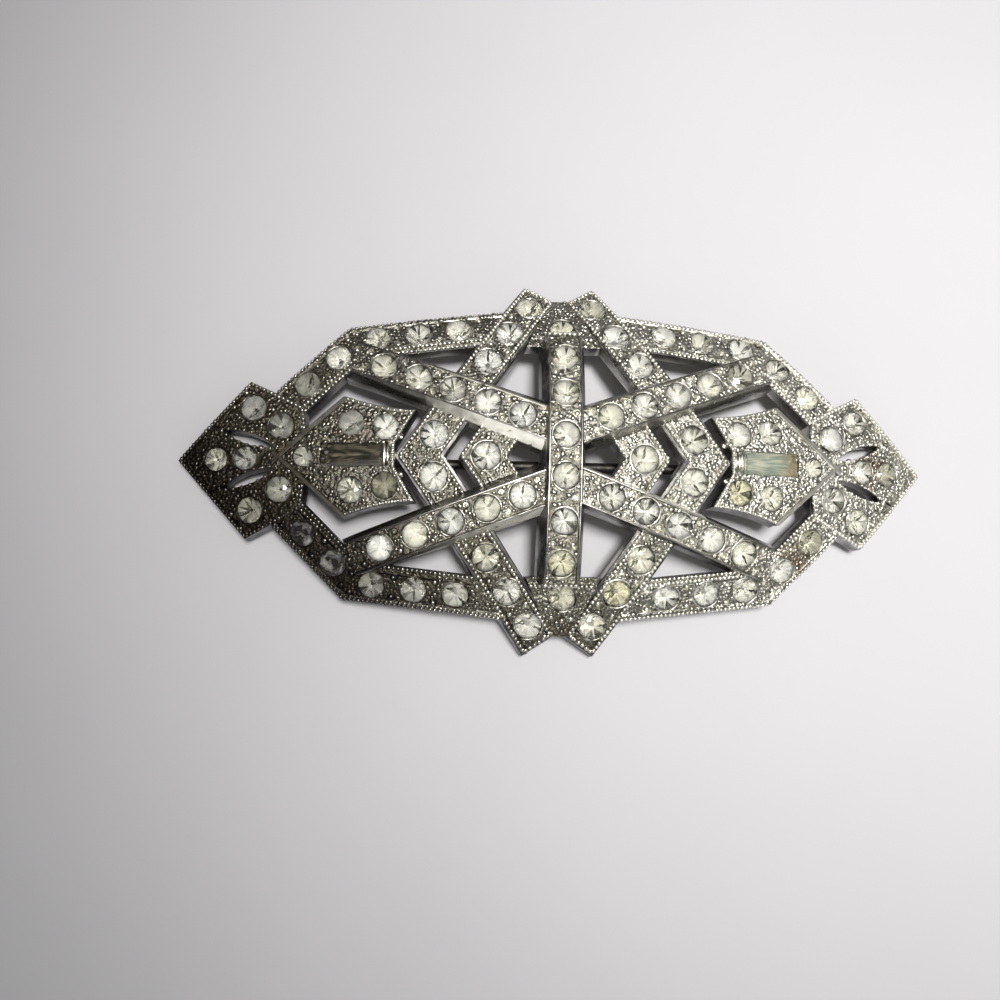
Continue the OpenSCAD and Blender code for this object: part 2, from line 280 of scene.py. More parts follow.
def chatonFoil():
    # Silvered and lacquered back of a stone: a mirror that has yellowed, with a few dead spots, which
    # on the stones towards the lower left are painted shade. Random facets carry painted shade, and
    # none lies quite true.
    material, tree, place = newMaterial("chatonFoil")
    pattern = cloudyPatterns(tree, place, foilLooks["patterns"])
    age, dark, shade, reach = (addNode(tree, "ShaderNodeAttribute", attribute_name=mark).outputs["Fac"]
                               for mark in ("age", "dark", "shade", "reach"))
    shadedFacet = addNode(tree, "ShaderNodeMapRange", [shade, *foilLooks["shadedFacet"]])
    # the dark mark is partly dead foil and partly painted shade on the stones towards the lower left
    dead = addNode(tree, "ShaderNodeMath", [pattern["dead"], dark], operation="MULTIPLY")
    girdle = addNode(tree, "ShaderNodeMapRange", [reach, *foilLooks["girdleDirt"]])
    girdle = addNode(tree, "ShaderNodeMath", [girdle, pattern["dirt"]], operation="MULTIPLY")
    dead = addNode(tree, "ShaderNodeMath", [dead, girdle], operation="MAXIMUM")
    lean = addNode(tree, "ShaderNodeAttribute", attribute_name="lean").outputs["Vector"]
    facing = addNode(tree, "ShaderNodeNewGeometry").outputs["Normal"]
    facing = addNode(tree, "ShaderNodeVectorMath", [facing, lean], operation="ADD")
    facing = addNode(tree, "ShaderNodeVectorMath", [facing], operation="NORMALIZE")
    ripples = addNode(tree, "ShaderNodeTexNoise", [place, patternScale(foilLooks["ripple"]), 2, 0.55])
    films = [(age, "yellowed"), (shadedFacet, "shaded"), (dead, "dead")]
    return shaded(material, {
        "Base Color": layered(tree, foilLooks, "silver", films),
        "Metallic": addNode(tree, "ShaderNodeMapRange", [shade, *foilLooks["metallic"]]),
        "Roughness": addNode(tree, "ShaderNodeMapRange", [dead, 0, 1, *foilLooks["roughness"]]),
        "Normal": addNode(tree, "ShaderNodeBump", {
            "Height": ripples, "Distance": foilLooks["rippleDepth"] / metre,
            "Strength": foilLooks["rippleStrength"], "Normal": facing}),
    })


baguetteLooks = {
    "leftPale": "#8d836c", "leftDark": "#3a342b",      # foil gone brown
    "rightPale": "#e6e6d6", "rightDark": "#a7b2a6",    # grey-green foil, bluish in the middle
    "end": "#ab9a74", "endFrom": (0.0213, 0.0228),     # brown outer end of the right one
    "metallic": 0.35, "roughness": 0.34,
    "streakDepth": 0.03, "streakStrength": 0.5,
    "streakStretch": (0.12, 1, 1),                     # streaks run along the stone
    "patterns": {"streaks": (0.35, 3, 0.55, 0.42, 0.60)},
}


def baguetteFoil():
    # Silvering that has broken up into streaks along the stone: brown on the left one, grey-green
    # on the right
    looks = baguetteLooks
    material, tree, place = newMaterial("baguetteFoil")
    drawn = addNode(tree, "ShaderNodeMapping", {"Vector": place, "Scale": looks["streakStretch"]})
    streaks = cloudyPatterns(tree, drawn, looks["patterns"])["streaks"]
    along = addNode(tree, "ShaderNodeSeparateXYZ", [place])
    end = addNode(tree, "ShaderNodeMapRange", [along, *looks["endFrom"]])
    left = layered(tree, looks, "leftDark", [(streaks, "leftPale")])
    right = layered(tree, looks, "rightDark", [(streaks, "rightPale"), (end, "end")])
    isRight = addNode(tree, "ShaderNodeMapRange", [along, -0.001, 0.001])
    return shaded(material, {
        "Base Color": addNode(tree, "ShaderNodeMix", [isRight, left, right], data_type="RGBA"),
        "Metallic": looks["metallic"],
        "Roughness": looks["roughness"],
        "Normal": addNode(tree, "ShaderNodeBump", {
            "Height": streaks, "Distance": looks["streakDepth"] / metre,
            "Strength": looks["streakStrength"]}),
    })


# the share of grime, and the depths of the crust and of the pits in millimetres
castingMetal = platedWhiteMetal("platedCasting", 0.40, 0.15, 0.014)
beadMetal = platedWhiteMetal("platedBeads", 0.10, 0.0, 0.016)
ringMetal = platedWhiteMetal("platedSeats", 0.95, 0.0, 0.006)
glass = chatonGlass()
foil = chatonFoil()
agedFoil = baguetteFoil()
print("materials made")


# Outlines on the flat sheet, the same as the construction's

def squareTo(a, b):
    # unit vector to the left of the way from a to b
    way = (b - a).normalized()
    return Vector((-way.y, way.x))


def sidePoint(run, i, off):
    last = len(run) - 1
    before = squareTo(run[max(i - 1, 0)], run[max(i, 1)])
    after = squareTo(run[min(i, last - 1)], run[min(i + 1, last)])
    way = (before + after).normalized()
    return run[i] + way * off / way.dot(before)


def points(pairs):
    return [Vector(p) for p in pairs]


def bandOutline(run, width):
    there = [sidePoint(run, i, width / 2) for i in range(len(run))]
    back = [sidePoint(run, i, -width / 2) for i in reversed(range(len(run)))]
    return there + back


def mirrored(outline, flipX, flipY):
    return [Vector((p.x * flipX, p.y * flipY)) for p in outline]


def fourQuarters(outline):
    return [mirrored(outline, sx, sy) for sx in (1, -1) for sy in (1, -1)]


def leftRight(outline):
    return [mirrored(outline, sx, 1) for sx in (1, -1)]


def closedHalf(upper, first):
    # upper half of an outline and its mirror image below the x axis
    return upper + [Vector((p.x, -p.y)) for p in reversed(upper[first:])]


def area(outline):
    return sum(a.x * b.y - b.x * a.y for a, b in zip(outline, outline[1:] + outline[:1])) / 2


def inset(outline, distance):
    # every side of a closed outline moved inwards; a negative distance moves it out
    if area(outline) < 0:
        outline = list(reversed(outline))
    result = []
    for i, point in enumerate(outline):
        before = squareTo(outline[i - 1], point)
        after = squareTo(point, outline[(i + 1) % len(outline)])
        way = (before + after).normalized()
        result.append(point + way * distance / way.dot(before))
    return result


def arc(a, b, sag, steps):
    # points from a to b on an arc that bulges to the left by sag
    out = squareTo(a, b)
    result = []
    for i in range(steps + 1):
        t = i / steps
        result.append(a.lerp(b, t) + out * sag * 4 * t * (1 - t))
    return result


def inside(point, outline):
    hit = False
    for a, b in zip(outline, outline[1:] + outline[:1]):
        if (a.y > point.y) != (b.y > point.y):
            crossing = a.x + (b.x - a.x) * (point.y - a.y) / (b.y - a.y)
            hit = hit != (point.x < crossing)
    return hit


bands = {
    "border": 3.1, "chevron": 3.3, "smallChevron": 3.7, "cross": 3.1, "bar": 3.1,
    "rim": 0.28, "rimHeight": 0.25, "plainRim": 0.10,
    "ledge": 0.3, "ledgeDrop": 0.5,
    "crossRise": 1.0, "barRise": 1.7, "barX": -0.2, "arrowTop": 0.12, "terminalTop": -0.1,
    "channelFoot": (0.05, -0.5),            # how far a channel's wall spreads, and from which level
    # how far the raised bands' walls spread towards their feet, at the run's two ends
    "crossFeet": ((0.35, 0.3), (0.6, 0.3), (0.85, 0.3), (0.85, 0.3)),
    "barFeet": (0.55, 0.55),
    "lowFoot": -0.6,                        # level where a low band's wall starts to lean
    "batter": 0.05,                         # how far a wall leans out below its foot
    "soft": 0.06,                           # rounding of a cast edge
    "smoothRim": ((0, 0.28), (0.08, 0.12), (0.22, 0.10), (0.34, 0.16)),   # inwards, and down
}

borderRun = points([(5.3, 13.56), (20.1, 11.82), (26.7, 5.17)])
chevronRun = points([(2.02, 17.53), (13.86, 0), (2.02, -17.53)])
smallChevronRun = points([(5.16, 3.98), (7.83, 0), (5.16, -3.98)])
crossRun = points([(0.7, 2.5), (19.7, 9.41)])
barRun = points([(bands["barX"] - 0.25, -11.6), (bands["barX"] + 0.05, 11.55)])
terminalHalf = points([(37.2, 0), (30.3, 7.75), (27.5, 6.3), (24.9, 4.9), (24.6, 2.6)])
arrowTip, arrowShoulder, arrowTail, arrowNotch = points([(27.4, 0), (20.9, 5.8), (14.2, 4.35), (16.1, 1.1)])
slotEnds = points([(27.5, 1.0), (32.9, 2.9)])
slotWidth = 1.15
fillerOutline = points([(-3.6, 11.3), (3.6, 11.3), (1.1, 16.8), (-1.1, 16.8)])

arrowOutline = closedHalf([arrowTip] + arc(arrowShoulder, arrowTail, 0.3, 6) + [arrowNotch], 1)
terminalOutline = closedHalf(terminalHalf, 1)
slotOutline = arc(*slotEnds, slotWidth / 2, 7)[:-1] + arc(*reversed(slotEnds), slotWidth / 2, 7)[:-1]


# Solids on the flat sheet

def meshOf(form, name):
    mesh = bpy.data.meshes.new(name)
    form.to_mesh(mesh)
    form.free()
    return mesh


def skinRings(form, rings):
    # faces from ring to ring, and over both ends
    count = len(rings[0])
    for lower, upper in zip(rings, rings[1:]):
        for i in range(count):
            form.faces.new((lower[i], lower[(i + 1) % count], upper[(i + 1) % count], upper[i]))
    form.faces.new(list(reversed(rings[0])))
    form.faces.new(rings[-1])


def lofted(stacks, name):
    # closed solids in one mesh, each a stack of rings of (point, level)
    form = bmesh.new()
    for rings in stacks:
        skinRings(form, [[form.verts.new((p.x, p.y, level)) for p, level in ring] for ring in rings])
    return addObject(name, meshOf(form, name))


def slab(outline, rings):
    # rings are (inset, level) from the bottom to the top
    if area(outline) < 0:
        outline = list(reversed(outline))
    stack = [[(p, level) for p in inset(outline, distance)] for distance, level in rings]
    return lofted([stack], "slab")


def combine(target, tool, operation):
    cutter = target.modifiers.new(operation, "BOOLEAN")
    cutter.operation = operation
    cutter.solver = "MANIFOLD"
    cutter.object = tool
    old = target.data
    target.data = evaluated(target, target.name)
    target.modifiers.clear()
    bpy.data.meshes.remove(old)
    remove(tool)
    return target


def remove(thing):
    mesh = thing.data
    bpy.data.objects.remove(thing)
    bpy.data.meshes.remove(mesh)


def joined(parts):
    whole = parts[0]
    for part in parts[1:]:
        combine(whole, part, "UNION")
    return whole


milgrain = {
    "bead": 0.40, "pitch": 0.43, "stretch": 1.0,
    "seat": 0.32,               # how far below the top the beads' sunk edge lies
    "groove": 0.12,             # and the groove beside it
    "barEnd": (1.65, 0.985),    # row across a bar's end: half its length, its place as a share of the end's
    "besideBar": (2.9, 12.0),   # row on the metal beyond: half its length, its distance from the middle
}


def channelRings(top, foot, footLevel):
    # wall, rounded rim and sunk floor of a band that holds stones
    soft, rim = bands["soft"], bands["rim"]
    return [(-foot - bands["batter"], face["back"]), (-foot, footLevel), (0, top - soft), (soft, top),
            (rim - soft / 2, top), (rim + soft / 2, top - soft), (rim + soft, top - bands["rimHeight"])]


def plateRings(top, foot=0.05):
    soft = bands["soft"]
    return [(-foot, face["back"]), (0, top - soft), (soft, top)]


def ledgeRings():
    return plateRings(-bands["ledgeDrop"], 0.1)


def raisedSide(half, foot, top):
    # half a profile from the back up: wall, thin plain rim, floor
    soft, rim = bands["soft"], bands["plainRim"]
    return [(half + foot + bands["batter"], face["back"]), (half + foot, -0.3), (half, top - soft),
            (half - soft, top), (half - rim, top), (half - rim - soft, top - soft),
            (half - rim - 2 * soft, top - bands["rimHeight"])]


def lowSide(half, foot, top):
    # half a profile from the back up: wall, sunk edge that the beads stand on, groove, floor
    soft, seat = bands["soft"], top - milgrain["seat"]
    edge = half - milgrain["bead"]
    return [(half + foot + bands["batter"], face["back"]), (half + foot, bands["lowFoot"]),
            (half, seat - soft), (half - soft, seat), (edge, seat), (edge - 0.04, seat - milgrain["groove"]),
            (edge - 0.14, top - bands["rimHeight"])]


def smoothSide(half, foot, top):
    # half a profile from the back up: wall, low rounded rim without beads, floor
    rim = [(half - off, top - drop) for off, drop in bands["smoothRim"]]
    return [(half + foot + bands["batter"], face["back"]), (half + foot, bands["lowFoot"])] + rim + \
        [(half - 0.42, top - bands["rimHeight"])]


def sweptBand(run, width, top, side, feet, endSlope=0.0, outer=None):
    # A band along its run, with walls that spread by one of the feet at each point of the run. Its ends are
    # open, and slope outwards by endSlope for each millimetre below the top. outer is the side away from
    # the middle of the brooch, where it differs.
    leftIsOuter = abs(sidePoint(run, 0, 1).y) > abs(run[0].y)
    form = bmesh.new()
    rings = []
    for i, point in enumerate(run):
        outwards = Vector((0, 0))
        if i == 0 or i == len(run) - 1:
            outwards = (point - run[i - 1] if i else point - run[1]).normalized()
        foot = feet[min(i, len(feet) - 1)]
        near = side(width / 2, foot, top)
        far = (outer or side)(width / 2, foot, top)
        left, right = (far, near) if leftIsOuter else (near, far)
        ring = []
        for off, level in left + [(-off, level) for off, level in reversed(right)]:
            p = sidePoint(run, i, off) + outwards * endSlope * (top - max(level, -0.3))
            ring.append(form.verts.new((p.x, p.y, level)))
        rings.append(ring)
    skinRings(form, rings)
    bmesh.ops.recalc_face_normals(form, faces=form.faces[:])
    return addObject("band", meshOf(form, "band"))


def lowBand(run, width, outer=None):
    return sweptBand(run, width, 0, lowSide, (0.02,), outer=outer)


chevronOutlines = leftRight(bandOutline(chevronRun, bands["chevron"]))
chevronLedges = leftRight(inset(bandOutline(chevronRun, bands["chevron"]), -bands["ledge"]))
borderOutlines = fourQuarters(bandOutline(borderRun, bands["border"]))
crossOutlines = fourQuarters(bandOutline(crossRun, bands["cross"]))
barOutline = bandOutline(barRun, bands["bar"])
smallChevronOutlines = leftRight(bandOutline(smallChevronRun, bands["smallChevron"]))
fillerOutlines = [fillerOutline, mirrored(fillerOutline, 1, -1)]
arrowOutlines = leftRight(arrowOutline)
terminalOutlines = leftRight(terminalOutline)
slotOutlines = fourQuarters(slotOutline)

# smooth strips along the arrows' straight edges, which cross at the arrow's tip, and the notches where
# the slots run out to the terminals' edges
strip = {"width": 0.42, "top": 0.24, "inset": 0.17, "past": 0.5}
stripEnds = [arrowShoulder, arrowTip]
stripWay = (stripEnds[1] - stripEnds[0]).normalized()
stripIn = -squareTo(*stripEnds) * strip["inset"]
stripRun = [stripEnds[0] + stripIn + stripWay * 0.1, stripEnds[1] + stripIn + stripWay * strip["past"]]
notchRun = points([(32.2, 2.65), (35.4, 3.8)])
notchWidth = 0.5
above, below = 3, -4        # levels well clear of the face, for what is cut away

parts = []
border = joined([lowBand(run, bands["border"], smoothSide) for run in fourQuarters(borderRun)])
for outline in chevronOutlines + terminalOutlines:
    combine(border, slab(outline, [(0, -bands["ledgeDrop"]), (0, above)]), "DIFFERENCE")
parts.append(border)
parts += [slab(inset(o, -bands["ledge"]), ledgeRings()) for o in borderOutlines]
parts += [slab(o, ledgeRings()) for o in chevronLedges]
parts += [lowBand(run, bands["chevron"]) for run in leftRight(chevronRun)]
parts += [lowBand(run, bands["smallChevron"]) for run in leftRight(smallChevronRun)]
parts += [slab(o, plateRings(-bands["rimHeight"])) for o in fillerOutlines]
rings = channelRings(bands["terminalTop"], *bands["channelFoot"])
terminals = joined([slab(o, rings) for o in terminalOutlines])
for outline in slotOutlines:
    combine(terminals, slab(outline, [(0, below), (0, above)]), "DIFFERENCE")
for run in fourQuarters(notchRun):
    rings = [(0.14, -0.62), (0, -0.2), (0, above)]
    combine(terminals, slab(bandOutline(run, notchWidth), rings), "DIFFERENCE")
parts.append(terminals)
parts += [slab(o, channelRings(bands["arrowTop"], *bands["channelFoot"])) for o in arrowOutlines]
parts += [slab(bandOutline(run, strip["width"]), plateRings(strip["top"])) for run in fourQuarters(stripRun)]
crossRuns = [mirrored(crossRun, sx, sy) for sx, sy in ((1, -1), (1, 1), (-1, 1), (-1, -1))]
parts += [sweptBand(run, bands["cross"], bands["crossRise"], raisedSide, feet, 0.5)
          for run, feet in zip(crossRuns, bands["crossFeet"])]
parts += [sweptBand(barRun, bands["bar"], bands["barRise"], raisedSide, bands["barFeet"], 0.05)]
casting = joined(parts)
casting.name = "castingSkin"
print("casting joined:", len(casting.data.polygons), "faces")


# Where the stones sit

def stoneRow(string, start, end, count, girdle, level, quarters):
    return {"string": string, "start": Vector(start), "end": Vector(end), "count": count,
            "girdle": girdle, "level": level, "quarters": quarters}


everyQuarter = [(1, 1), (-1, 1), (1, -1), (-1, -1)]
topAndBottom = [(1, 1), (1, -1)]
bothEnds = [(1, 1), (-1, 1)]
stoneRows = [
    stoneRow("centre_bar_stones", (-0.20, 1.75), (-0.18, 5.65), 2, 2.5, bands["barRise"], [(1, 1)]),
    stoneRow("centre_bar_stones", (-0.16, 9.15), (-0.16, 9.15), 1, 2.5, bands["barRise"], [(1, 1)]),
    stoneRow("centre_bar_stones", (-0.24, 1.95), (-0.32, 5.95), 2, 2.5, bands["barRise"], [(1, -1)]),
    stoneRow("centre_bar_stones", (-0.45, 9.6), (-0.45, 9.6), 1, 2.5, bands["barRise"], [(1, -1)]),
    stoneRow("centre_bar_stones", (0, 13.25), (0, 13.25), 1, 2.5, 0, topAndBottom),
    stoneRow("cross_band_stones", (4.15, 3.75), (17.2, 8.5), 5, 2.5, bands["crossRise"], everyQuarter),
    stoneRow("chevron_stones", (3.15, 15.85), (7.4, 9.55), 3, 2.7, 0, everyQuarter),
    stoneRow("chevron_stones", (12.45, 2.05), (12.45, 2.05), 1, 2.7, 0, everyQuarter),
    stoneRow("chevron_stones", (7.55, 0), (7.55, 0), 1, 2.7, 0, bothEnds),
    stoneRow("border_stones", (10.15, 13.0), (18.1, 12.15), 3, 2.5, 0, everyQuarter),
    stoneRow("border_stones", (21.8, 10.1), (24.7, 7.3), 2, 2.5, 0, everyQuarter),
    stoneRow("arrow_stones", (17.05, 2.85), (20.3, 3.25), 2, 2.5, 0, everyQuarter),
    stoneRow("arrow_stones", (24.9, 0), (24.9, 0), 1, 1.9, 0, bothEnds),
    stoneRow("terminal_stones", (27.1, 3.1), (29.9, 5.05), 2, 2.5, 0, everyQuarter),
    stoneRow("terminal_stones", (30.5, 0), (33.4, 0), 2, 2.3, 0, bothEnds),
]


def flipped(row, spot, flipX, flipY):
    # the bar isn't quite on the middle, so its stones have no mirror image across it
    isOnBar = row["string"] == "centre_bar_stones"
    return Vector((spot.x * (1 if isOnBar else flipX), spot.y * flipY))


def stonesOf(row):
    for flipX, flipY in row["quarters"]:
        for i in range(row["count"]):
            spot = row["start"].lerp(row["end"], i / max(row["count"] - 1, 1))
            yield flipped(row, spot, flipX, flipY)


stones = [(row, spot) for row in stoneRows for spot in stonesOf(row)]


def tangentCircle(spot, radius, sides):
    # circle on the dome as it looks on the flat sheet: squeezed along the slope
    _, normal = bend(spot.x, spot.y, 0)
    slope = Vector((normal.x, normal.y))
    downhill = slope.normalized() if slope.length > 1e-6 else Vector((1, 0))
    level = Vector((-downhill.y, downhill.x))
    return [spot + downhill * math.cos(a) * radius * normal.z + level * math.sin(a) * radius
            for a in (2 * math.pi * k / sides for k in range(sides))]


seat = {
    "gap": 0.05, "sides": 28, "chamfer": 0.10,
    "depthShare": 0.42, "under": 0.1,   # depth as a share of the stone's width, and room below that
    "footShare": 0.45,                  # width at the bottom as a share of the stone's
    "mouth": (-0.12, 0.02, 1.2),        # levels from the floor: mouth, chamfer, end of the cutter
}


def seatCutter(row, spot):
    girdle = row["girdle"] / 2
    floor = row["level"] - bands["rimHeight"]
    mouth = girdle + seat["gap"]
    low, middle, high = (floor + level for level in seat["mouth"])
    rings = [(seat["footShare"] * girdle, floor - seat["depthShare"] * row["girdle"] - seat["under"]),
             (mouth, low), (mouth + seat["chamfer"] * 0.2, middle), (mouth + seat["chamfer"], high)]
    return [[(p, level) for p in tangentCircle(spot, radius, seat["sides"])] for radius, level in rings]


combine(casting, lofted([seatCutter(row, spot) for row, spot in stones], "cutters"), "DIFFERENCE")


def clearOf(p, radius):
    return all((p - spot).length > row["girdle"] / 2 + radius for row, spot in stones)


# Between two stones a pair of grains is raised from the floor, each left in a dimple
grain = {
    "pair": 0.47, "aside": 0.92,
    "clear": 0.12, "apart": 0.7,      # distance from a stone and from another grain
    "sunk": 0.10, "raised": 0.06,     # how far the pairs stand below the floor, and the lone ones above
    "dimple": 0.40, "dimpleFoot": 0.24, "dimpleDepth": 0.2,
    # grains on their own: place and size
    "lone": ((0.05, -15.35, 0.62), (-0.9, -14.9, 0.4), (0.9, -15.0, 0.42), (0.0, 15.6, 0.5),
             (-23.2, 0.75, 0.6), (-22.9, -0.35, 0.55), (-22.4, 0.9, 0.5), (-23.6, 0.2, 0.5),
             (-22.6, 0.3, 0.45), (-22.2, -0.8, 0.45), (22.9, 0.8, 0.5), (23.3, -0.5, 0.5)),
}
pairSpots = []
for row in stoneRows:
    if row["count"] < 2:
        continue
    step = (row["end"] - row["start"]) / (row["count"] - 1)
    aside = squareTo(row["start"], row["end"])
    for flipX, flipY in row["quarters"]:
        for i in range(-1, row["count"]):
            for off in (-grain["aside"], grain["aside"]):
                p = flipped(row, row["start"] + step * (i + 0.5) + aside * off, flipX, flipY)
                isApart = all((p - other).length > grain["apart"] for other, _ in pairSpots)
                if isApart and clearOf(p, grain["clear"]):
                    pairSpots.append((p, row["level"] - bands["rimHeight"]))


def dimpleCutter(p, floor):
    rings = [(grain["dimpleFoot"], floor - grain["dimpleDepth"]), (grain["dimple"], floor + 0.02),
             (grain["dimple"], floor + 0.08)]
    return [[(q, level) for q in tangentCircle(p, radius, 12)] for radius, level in rings]


combine(casting, lofted([dimpleCutter(p, floor) for p, floor in pairSpots], "cutters"), "DIFFERENCE")

baguette = {"middle": Vector((19.95, 0.1)), "length": 6.4, "width": 2.2, "gap": 0.06, "depth": 1.1,
            "cutTo": 2}      # level that the cutter of its seat reaches
fourCorners = ((1, 1), (-1, 1), (-1, -1), (1, -1))
halfLength = baguette["length"] / 2 + baguette["gap"]
halfWidth = baguette["width"] / 2 + baguette["gap"]
for side in (1, -1):
    middle = Vector((baguette["middle"].x * side, baguette["middle"].y))
    corners = [middle + Vector((halfLength * sx, halfWidth * sy)) for sx, sy in fourCorners]
    rings = [(0, -bands["rimHeight"] - baguette["depth"]), (0, baguette["cutTo"])]
    combine(casting, slab(corners, rings), "DIFFERENCE")
print("seats cut:", len(casting.data.polygons), "faces")


def cutIntoCells(mesh, cell):
    form = bmesh.new()
    form.from_mesh(mesh)
    bmesh.ops.triangulate(form, faces=form.faces[:])
    for axis, half in enumerate(face["cutTo"]):
        for k in range(-int(half / cell), int(half / cell) + 1):
            spot, normal = [0, 0, 0], [0, 0, 0]
            spot[axis] = k * cell + face["cellShift"]
            normal[axis] = 1
            bmesh.ops.bisect_plane(form, geom=form.verts[:] + form.edges[:] + form.faces[:], dist=1e-5,
                                   plane_co=spot, plane_no=normal)
    bmesh.ops.remove_doubles(form, verts=form.verts[:], dist=1e-4)
    form.to_mesh(mesh)
    form.free()


cutIntoCells(casting.data, face["cell"])
print("cut into cells:", len(casting.data.polygons), "faces")

# How rubbed and worked each spot of the casting is, and how much painted shade and painted sheen it has, out
# of 1
marks = {
    "rim": 0.5, "flankEdge": 0.9, "foot": 0.2,         # rubbed
    "darkFlank": 0.95, "flank": 0.5,                   # painted shade
    "ledge": 0.9, "raisedRim": 0.75,
    "leftSheen": (1.0, 0.55), "rightSheen": 0.6,       # painted sheen, above and below the middle at the left
    "sheenReach": 13, "sheenFade": 6,                  # how far out it goes, and fades over
}
rimTops = (0, bands["arrowTop"], bands["terminalTop"], bands["crossRise"], bands["barRise"])
rubbed = casting.data.attributes.new("rubbed", "FLOAT", "POINT")
worked = casting.data.attributes.new("worked", "FLOAT", "FACE")
wall = casting.data.attributes.new("wall", "FLOAT", "FACE")
satin = casting.data.attributes.new("satin", "FLOAT", "FACE")


def paintedSheenShare(p, normal):
    # painted sheen: flanks near the middle made bright and diffuse to stand in for a reflection, the
    # lower ones on the left and one upper one on the right
    reach = marks["sheenReach"]
    if -reach < p.x < -0.5 and normal.y < -0.5 and -0.5 < p.z < 1:
        upper, lower = marks["leftSheen"]
        return (upper if p.y > 0 else lower) * min((p.x + reach) / marks["sheenFade"], 1)
    if 0.5 < p.x < reach and p.y < 0 and normal.y > 0.5 and p.z > -0.35:
        return marks["rightSheen"]
    return 0.0


def paintedWallShade(p, normal):
    # painted shade on the flanks: the centre bar's flanks and the lower flank of the band to the
    # lower right are nearly black
    if paintedSheenShare(p, normal):
        return 0.0
    isDark = abs(p.x - bands["barX"]) < 3 or (p.x > 0 and p.y < 0 and normal.y < 0)
    return marks["darkFlank"] if isDark else marks["flank"]


def isWorkedFloor(polygon):
    # a band's floor lies a little below its rim
    drops = [polygon.center.z - top for top in rimTops]
    isFloor = any(abs(drop + bands["rimHeight"]) < 0.04 or -0.3 < drop < -0.27 for drop in drops)
    return isFloor and polygon.normal.z > 0.6


flankCorners = set()
for i, polygon in enumerate(casting.data.polygons):
    up, facing = polygon.center.z, polygon.normal.z
    worked.data[i].value = 1.0 if isWorkedFloor(polygon) else 0.0
    isFlank = abs(facing) < 0.9 and -0.4 < up < 1.7 and polygon.area > 0.1
    if isFlank:
        flankCorners.update(polygon.vertices)
    if (isFlank or abs(facing) < 0.6) and polygon.area > 0.05:
        wall.data[i].value = paintedWallShade(polygon.center, polygon.normal)
        satin.data[i].value = paintedSheenShare(polygon.center, polygon.normal)
    # painted shade on the ledges and on the raised bands' rims
    if facing > 0.3 and abs(up + bands["ledgeDrop"]) < 0.07:
        wall.data[i].value = marks["ledge"]
    elif facing > 0.5 and any(-0.15 < up - bands[name] < 0.05 for name in ("crossRise", "barRise")):
        wall.data[i].value = marks["raisedRim"]
for i, vertex in enumerate(casting.data.vertices):
    up = vertex.co.z
    if any(abs(up - top) < 0.08 for top in rimTops):
        rubbed.data[i].value = marks["rim"]
    elif i in flankCorners:
        rubbed.data[i].value = marks["flankEdge"]
    elif up < -0.7:
        rubbed.data[i].value = marks["foot"]
    vertex.co = bend(*vertex.co)[0]
casting.data.set_sharp_from_angle(angle=math.radians(32))
for polygon in casting.data.polygons:
    polygon.use_smooth = True
workedFace = casting.data.copy()
toMetres(casting.data)
casting.data.materials.clear()
casting.data.materials.append(castingMetal)
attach(casting, "root")
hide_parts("casting")
print("casting bent")


# Geometry Nodes: a named input for each size

socketKinds = {float: "NodeSocketFloat", int: "NodeSocketInt"}


def newTree(name, sizes):
    tree = bpy.data.node_groups.new(name, "GeometryNodeTree")
    tree.interface.new_socket("Geometry", in_out="INPUT", socket_type="NodeSocketGeometry")
    tree.interface.new_socket("Geometry", in_out="OUTPUT", socket_type="NodeSocketGeometry")
    for label, value in sizes.items():
        if isinstance(value, (bpy.types.Object, bpy.types.Material)):
            kind = "NodeSocketObject" if isinstance(value, bpy.types.Object) else "NodeSocketMaterial"
        else:
            kind = socketKinds[type(value)]
        tree.interface.new_socket(label, in_out="INPUT", socket_type=kind)
    return tree, addNode(tree, "NodeGroupInput").outputs, addNode(tree, "NodeGroupOutput").inputs


def grow(holder, tree, sizes, name):
    # runs a tree on an object with these sizes, and leaves a plain mesh
    modifier = holder.modifiers.new(tree.name, "NODES")
    modifier.node_group = tree
    for item in tree.interface.items_tree:
        if item.in_out == "INPUT" and item.name in sizes:
            modifier[item.identifier] = sizes[item.name]
    mesh = evaluated(holder, name)
    remove(holder)
    toMetres(mesh)
    return addObject(name, mesh)


def smoothBall(tree, given):
    ball = addNode(tree, "GeometryNodeMeshIcoSphere", {"Radius": 0.5, "Subdivisions": given["Ball detail"]})
    return addNode(tree, "GeometryNodeSetShadeSmooth", {"Geometry": ball})


def standOn(tree, points, thing, size):
    # the thing on each point, turned as the point's "turn" says
    turn = addNode(tree, "GeometryNodeInputNamedAttribute", {"Name": "turn"}, data_type="FLOAT_VECTOR")
    turn = addNode(tree, "FunctionNodeEulerToRotation", [turn])
    return addNode(tree, "GeometryNodeInstanceOnPoints",
                   {"Points": points, "Instance": thing, "Rotation": turn, "Scale": size})


def rubUnevenly(tree, things, given, least, most):
    # some beads are brighter than others
    polish = addNode(tree, "FunctionNodeRandomValue", [least, most, None, given["Seed"]], data_type="FLOAT")
    return addNode(tree, "GeometryNodeStoreNamedAttribute",
                   {"Geometry": things, "Name": "rubbed", "Value": polish},
                   data_type="FLOAT", domain="INSTANCE")


def endTree(tree, things, metal, result):
    solid = addNode(tree, "GeometryNodeRealizeInstances", {"Geometry": things})
    solid = addNode(tree, "GeometryNodeSetMaterial", {"Geometry": solid, "Material": metal})
    tree.links.new(solid.outputs[0], result["Geometry"])
    return tree


